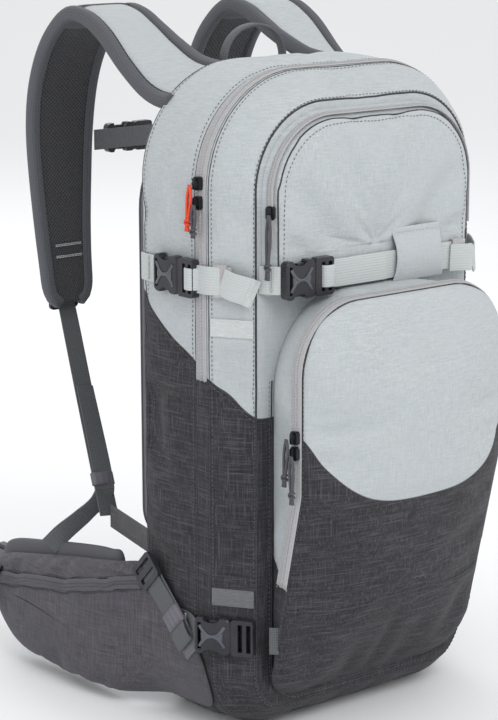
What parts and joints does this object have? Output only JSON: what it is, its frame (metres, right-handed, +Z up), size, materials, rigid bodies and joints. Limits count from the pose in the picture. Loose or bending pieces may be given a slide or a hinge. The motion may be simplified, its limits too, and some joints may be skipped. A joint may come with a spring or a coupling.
{
  "type": "ski touring backpack",
  "caption": "Ski backpack with zipped compartments, back-panel door, front pockets, compression straps, shoulder straps and a pocketed hip belt.",
  "frame": {"origin": "on the plane of the wearer's back, on the centre line, level with the base of the pack", "axes": "+Z up, +Y towards the wearer, +X to the wearer's right"},
  "size_m": [0.377, 0.475, 0.6503],
  "materials": {
    "shell_light": "pale silver-grey coated weave",
    "shell_dark": "heathered charcoal weave",
    "lining": "thin coated lining",
    "zip_tape": "woven zip tape",
    "back_foam": "knitted mesh over foam",
    "frame_plastic": "matt sheet",
    "frame_metal": "brushed",
    "webbing_light": "pale woven webbing",
    "webbing_dark": "green-grey woven webbing",
    "buckle_plastic": "moulded, satin",
    "elastic": "ribbed elastic",
    "strap_fabric": "slate fabric over foam",
    "wing_fabric": "purple-grey heathered weave",
    "zip_metal": "painted dark",
    "cord_orange": "orange-red cord",
    "cord_grey": "grey cord"
  },
  "bodies": {
    "pack": {"main_compartment": "shell_dark", "safety_compartment": "shell_light", "goggle_pocket": "shell_light", "front_pocket": "shell_light", "inner_sleeves": "lining", "zip_tapes": "zip_tape", "lumbar_pad": "back_foam", "side_straps": "webbing_light", "side_buckle_sockets": "buckle_plastic", "front_strap": "webbing_light", "front_buckle_socket": "buckle_plastic", "strap_keepers": "elastic", "ski_loops": "webbing_dark", "strap_anchor_tabs": "shell_dark", "hip_wing_roots": "wing_fabric", "stabiliser_straps": "webbing_dark", "stabiliser_locks": "buckle_plastic"},
    "back_door": {"back_door_pad": "back_foam", "frame_sheet": "frame_plastic", "frame_stays": "frame_metal"},
    "door_slider": {"door_slider": "zip_metal"},
    "door_pull": {"door_pull": "cord_grey"},
    "haul_loop": {"haul_loop": "webbing_dark"},
    "front_flap": {"front_strap_flap": "shell_light"},
    "front_plug": {"front_buckle_plug": "buckle_plastic"},
    "side_plug_upper_left": {"side_plug_upper_left": "buckle_plastic"},
    "side_plug_upper_right": {"side_plug_upper_right": "buckle_plastic"},
    "side_plug_lower_left": {"side_plug_lower_left": "buckle_plastic"},
    "side_plug_lower_right": {"side_plug_lower_right": "buckle_plastic"},
    "left_strap": {"shoulder_pad_left": "strap_fabric", "strap_webbing_left": "webbing_dark", "strap_lock_left": "buckle_plastic"},
    "right_strap": {"shoulder_pad_right": "strap_fabric", "strap_webbing_right": "webbing_dark", "strap_lock_right": "buckle_plastic"},
    "sternum_strap": {"sternum_webbing": "webbing_dark", "sternum_socket": "buckle_plastic"},
    "sternum_plug": {"sternum_plug": "buckle_plastic"},
    "left_wing": {"hip_wing_left": "wing_fabric", "hip_pocket_left": "wing_fabric", "hip_webbing_left": "webbing_dark"},
    "right_wing": {"hip_wing_right": "wing_fabric", "hip_pocket_right": "wing_fabric", "hip_webbing_right": "webbing_dark", "hip_buckle_socket": "buckle_plastic"},
    "hip_plug": {"hip_buckle_plug": "buckle_plastic"},
    "hip_slider_left": {"hip_slider_left": "zip_metal"},
    "hip_slider_right": {"hip_slider_right": "zip_metal"},
    "hip_pull_left": {"hip_pull_left": "cord_grey"},
    "hip_pull_right": {"hip_pull_right": "cord_grey"},
    "main_slider_upper": {"main_slider_upper": "zip_metal"},
    "main_slider_lower": {"main_slider_lower": "zip_metal"},
    "main_pull_upper": {"main_pull_upper": "cord_orange"},
    "main_pull_lower": {"main_pull_lower": "cord_grey"},
    "goggle_slider": {"goggle_slider": "zip_metal"},
    "goggle_pull": {"goggle_pull": "cord_grey"},
    "pocket_slider_upper": {"pocket_slider_upper": "zip_metal"},
    "pocket_slider_lower": {"pocket_slider_lower": "zip_metal"},
    "pocket_pull_upper": {"pocket_pull_upper": "cord_grey"},
    "pocket_pull_lower": {"pocket_pull_lower": "cord_grey"}
  },
  "joints": [
    {"name": "back_door_hinge", "type": "hinge", "parent": "pack", "child": "back_door", "pos_m": [0, -0.026, 0.15], "axis": [-1, 0, 0], "range_deg": [0, 18]},
    {"name": "door_slider_slide", "type": "slide", "parent": "back_door", "child": "door_slider", "axis": [0, 0, 1], "range_m": [-0.08, 0.13]},
    {"name": "door_pull_swing", "type": "hinge", "parent": "door_slider", "child": "door_pull", "pos_m": [0.147, -0.018, 0.3], "axis": [0, -1, 0], "range_deg": [0, 150]},
    {"name": "left_strap_swing", "type": "hinge", "parent": "pack", "child": "left_strap", "pos_m": [-0.127, 0.062, 0.162], "axis": [0.075, -0.1829, 0.9803], "range_deg": [-10, 10]},
    {"name": "right_strap_swing", "type": "hinge", "parent": "pack", "child": "right_strap", "pos_m": [0.127, 0.062, 0.162], "axis": [-0.075, -0.1829, 0.9803], "range_deg": [-10.2, 10.2]},
    {"name": "sternum_strap_turn", "type": "hinge", "parent": "left_strap", "child": "sternum_strap", "pos_m": [-0.057, 0.178, 0.508], "axis": [0, -0.309, 0.9511], "range_deg": [-18.6, 18.6]},
    {"name": "sternum_plug_slide", "type": "slide", "parent": "sternum_strap", "child": "sternum_plug", "axis": [1, 0, 0], "range_m": [0, 0.02]},
    {"name": "left_wing_hinge", "type": "hinge", "parent": "pack", "child": "left_wing", "pos_m": [-0.15, -0.02, 0.076], "axis": [0, 0, 1], "range_deg": [-25, 15]},
    {"name": "right_wing_hinge", "type": "hinge", "parent": "pack", "child": "right_wing", "pos_m": [0.15, -0.02, 0.076], "axis": [0, 0, 1], "range_deg": [-15, 25]},
    {"name": "hip_plug_slide", "type": "slide", "parent": "left_wing", "child": "hip_plug", "axis": [0, 1, 0], "range_m": [-0.03, 0]},
    {"name": "hip_slider_left_slide", "type": "slide", "parent": "left_wing", "child": "hip_slider_left", "axis": [0, -0.9737, 0.228], "range_m": [0, 0.13]},
    {"name": "hip_pull_left_swing", "type": "hinge", "parent": "hip_slider_left", "child": "hip_pull_left", "pos_m": [-0.1863, 0.176, 0.09], "axis": [0, 1, 0], "range_deg": [0, 150]},
    {"name": "hip_slider_right_slide", "type": "slide", "parent": "right_wing", "child": "hip_slider_right", "axis": [0, -0.9737, 0.228], "range_m": [0, 0.13]},
    {"name": "hip_pull_right_swing", "type": "hinge", "parent": "hip_slider_right", "child": "hip_pull_right", "pos_m": [0.1863, 0.176, 0.09], "axis": [0, -1, 0], "range_deg": [0, 150]},
    {"name": "main_slider_upper_travel", "type": "hinge", "parent": "pack", "child": "main_slider_upper", "pos_m": [-0.052, -0.116, 0.5], "axis": [0, 1, 0], "range_deg": [0, 80]},
    {"name": "main_slider_lower_slide", "type": "slide", "parent": "pack", "child": "main_slider_lower", "axis": [0, 0, 1], "range_m": [-0.018, 0]},
    {"name": "main_pull_upper_swing", "type": "hinge", "parent": "main_slider_upper", "child": "main_pull_upper", "pos_m": [-0.1622, -0.11325, 0.507], "axis": [0, 1, 0], "range_deg": [0, 150]},
    {"name": "main_pull_lower_swing", "type": "hinge", "parent": "main_slider_lower", "child": "main_pull_lower", "pos_m": [-0.1622, -0.11875, 0.49], "axis": [0, 1, 0], "range_deg": [0, 150]},
    {"name": "goggle_slider_slide", "type": "slide", "parent": "pack", "child": "goggle_slider", "axis": [0, 0, 1], "range_m": [-0.035, 0]},
    {"name": "goggle_pull_swing", "type": "hinge", "parent": "goggle_slider", "child": "goggle_pull", "pos_m": [-0.12419, -0.17429, 0.484], "axis": [-0.5878, 0.809, 0], "range_deg": [0, 150]},
    {"name": "pocket_slider_upper_slide", "type": "slide", "parent": "pack", "child": "pocket_slider_upper", "axis": [0, 0, 1], "range_m": [0, 0.044]},
    {"name": "pocket_slider_lower_slide", "type": "slide", "parent": "pack", "child": "pocket_slider_lower", "axis": [0, 0, 1], "range_m": [-0.058, 0]},
    {"name": "pocket_pull_upper_swing", "type": "hinge", "parent": "pocket_slider_upper", "child": "pocket_pull_upper", "pos_m": [-0.1312, -0.2068, 0.293], "axis": [0, 1, 0], "range_deg": [0, 150]},
    {"name": "pocket_pull_lower_swing", "type": "hinge", "parent": "pocket_slider_lower", "child": "pocket_pull_lower", "pos_m": [-0.1312, -0.2132, 0.279], "axis": [0, 1, 0], "range_deg": [0, 150]},
    {"name": "front_plug_slide", "type": "slide", "parent": "pack", "child": "front_plug", "axis": [1, 0, 0], "range_m": [0, 0.022]},
    {"name": "side_plug_upper_left_slide", "type": "slide", "parent": "pack", "child": "side_plug_upper_left", "axis": [0, -1, 0], "range_m": [0, 0.022]},
    {"name": "side_plug_lower_left_slide", "type": "slide", "parent": "pack", "child": "side_plug_lower_left", "axis": [0.5446, -0.8387, 0], "range_m": [0, 0.013]},
    {"name": "side_plug_upper_right_slide", "type": "slide", "parent": "pack", "child": "side_plug_upper_right", "axis": [0, -1, 0], "range_m": [0, 0.022]},
    {"name": "side_plug_lower_right_slide", "type": "slide", "parent": "pack", "child": "side_plug_lower_right", "axis": [-0.5446, -0.8387, 0], "range_m": [0, 0.013]},
    {"name": "haul_loop_fold", "type": "hinge", "parent": "pack", "child": "haul_loop", "pos_m": [-0.02, -0.028, 0.603], "axis": [1, 0, 0], "range_deg": [0, 70], "stiffness_Nm_per_rad": 0.02},
    {"name": "front_flap_lift", "type": "hinge", "parent": "pack", "child": "front_flap", "pos_m": [0.047, -0.177, 0.457], "axis": [-1, 0, 0], "range_deg": [0, 90]}
  ],
  "couplings": [
    {"joint": "right_strap_swing", "follows": "left_strap_swing", "ratio": 1},
    {"joint": "sternum_strap_turn", "follows": "left_strap_swing", "ratio": -1.8}
  ]
}
